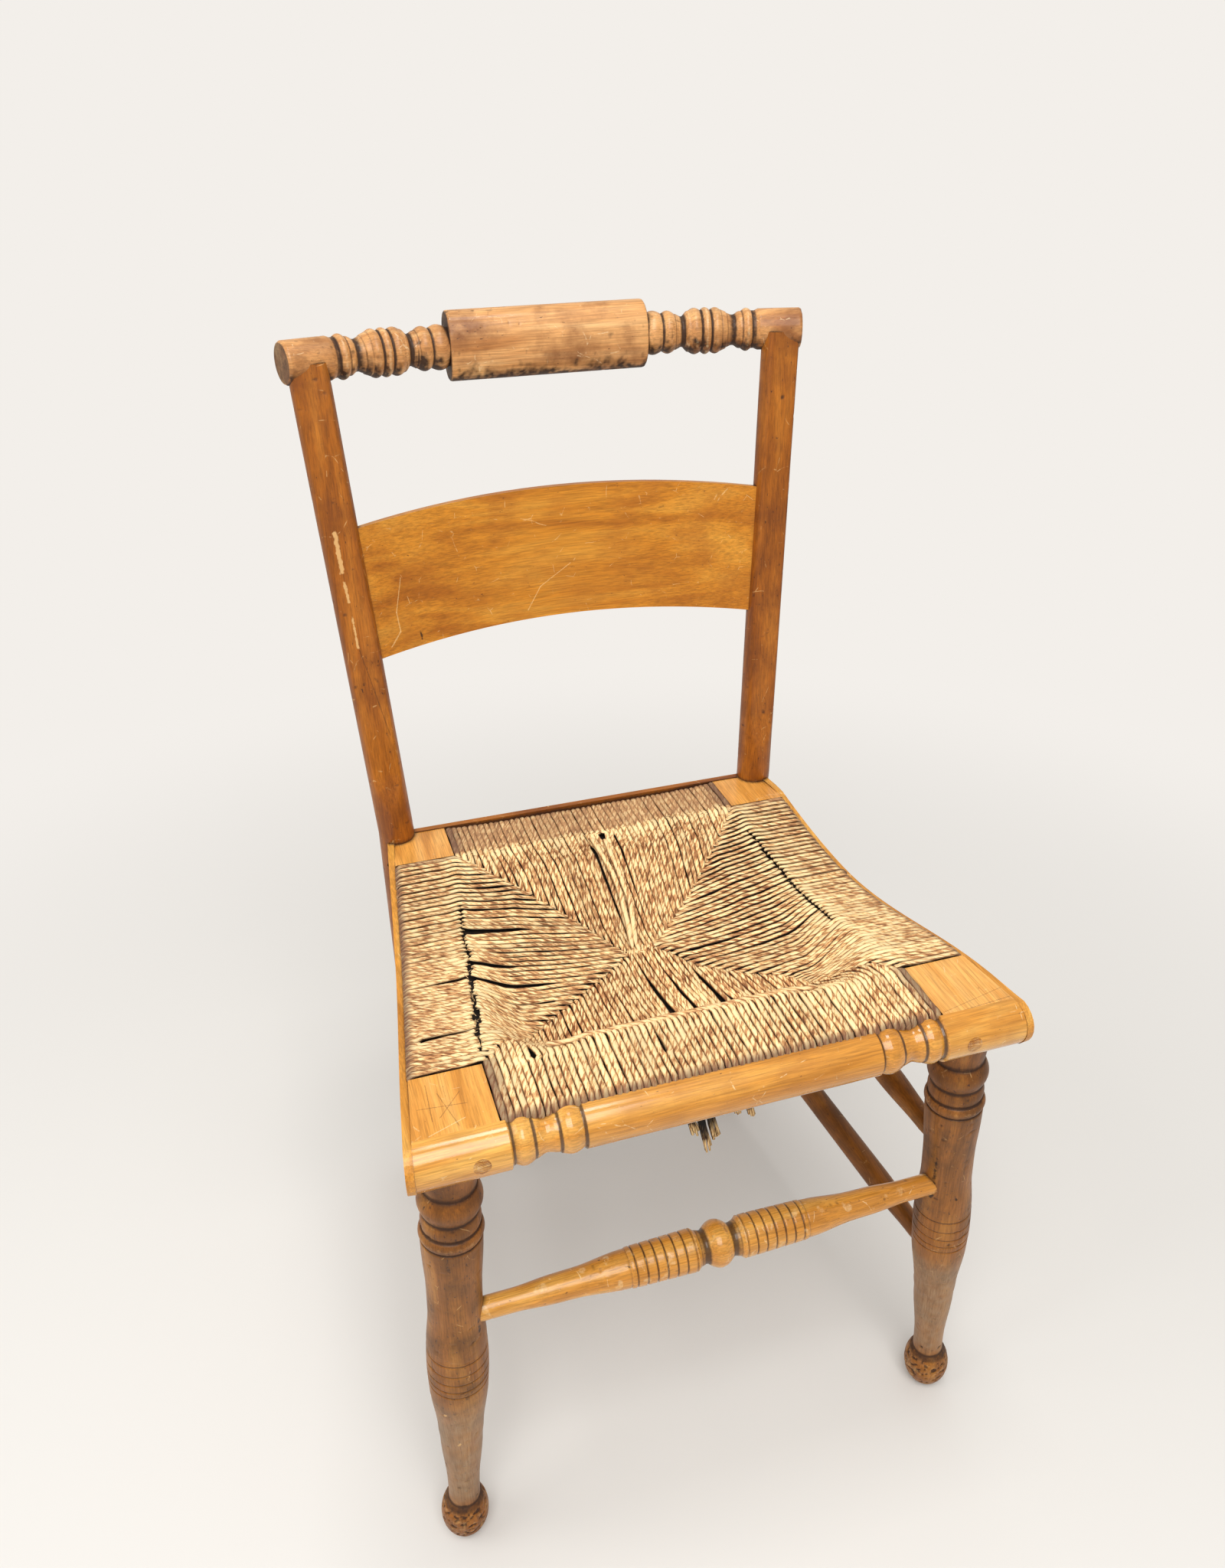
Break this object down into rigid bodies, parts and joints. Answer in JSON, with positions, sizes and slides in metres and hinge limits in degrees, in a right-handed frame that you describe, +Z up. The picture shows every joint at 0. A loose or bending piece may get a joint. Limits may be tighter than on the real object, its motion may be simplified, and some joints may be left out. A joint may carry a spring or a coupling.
{
  "type": "side chair",
  "caption": "Worn wooden side chair with a turned pillow crest rail, bent slat, ringed turned legs and a cracked woven rush seat.",
  "frame": {"origin": "on the floor under the middle of the chair's bounding box", "axes": "+Z up, the front of the seat faces -Y, +X to the right when looking at the front"},
  "size_m": [0.452, 0.4477, 0.8637],
  "materials": {
    "varnished_wood": "aged amber varnish, worn, chipped and dirty in the turnings",
    "amber_wood": "glossy honey-amber varnish with scratches and dents",
    "bare_wood": "raw, dry, unfinished",
    "plug_wood": "amber varnish over end grain",
    "woven_rush": "dry twisted rush, faded straw on the high spots, brown and split below, grey by the corners",
    "broken_rush": "blackened broken strands with frayed straw tips",
    "old_steel": "dull, lightly rusted"
  },
  "bodies": {
    "root": {"crest_rail": "varnished_wood", "back_post_left": "varnished_wood", "back_post_right": "varnished_wood", "back_slat": "amber_wood", "front_block_left": "amber_wood", "front_block_right": "amber_wood", "rear_block_left": "amber_wood", "rear_block_right": "amber_wood", "front_seat_rail": "bare_wood", "rear_seat_rail": "bare_wood", "side_seat_rail_left": "bare_wood", "side_seat_rail_right": "bare_wood", "front_roll": "amber_wood", "side_strip_left": "amber_wood", "side_strip_right": "amber_wood", "back_strip": "amber_wood", "rush_seat": "woven_rush", "rush_broken_ends": "broken_rush", "front_leg_left": "varnished_wood", "front_leg_right": "varnished_wood", "front_stretcher": "amber_wood", "side_stretcher_upper_left": "varnished_wood", "side_stretcher_upper_right": "varnished_wood", "side_stretcher_lower_left": "varnished_wood", "side_stretcher_lower_right": "varnished_wood", "rear_stretcher": "varnished_wood", "roll_plugs": "plug_wood", "roll_screws": "old_steel", "post_screws": "old_steel", "strip_brads": "old_steel"}
  },
  "joints": []
}
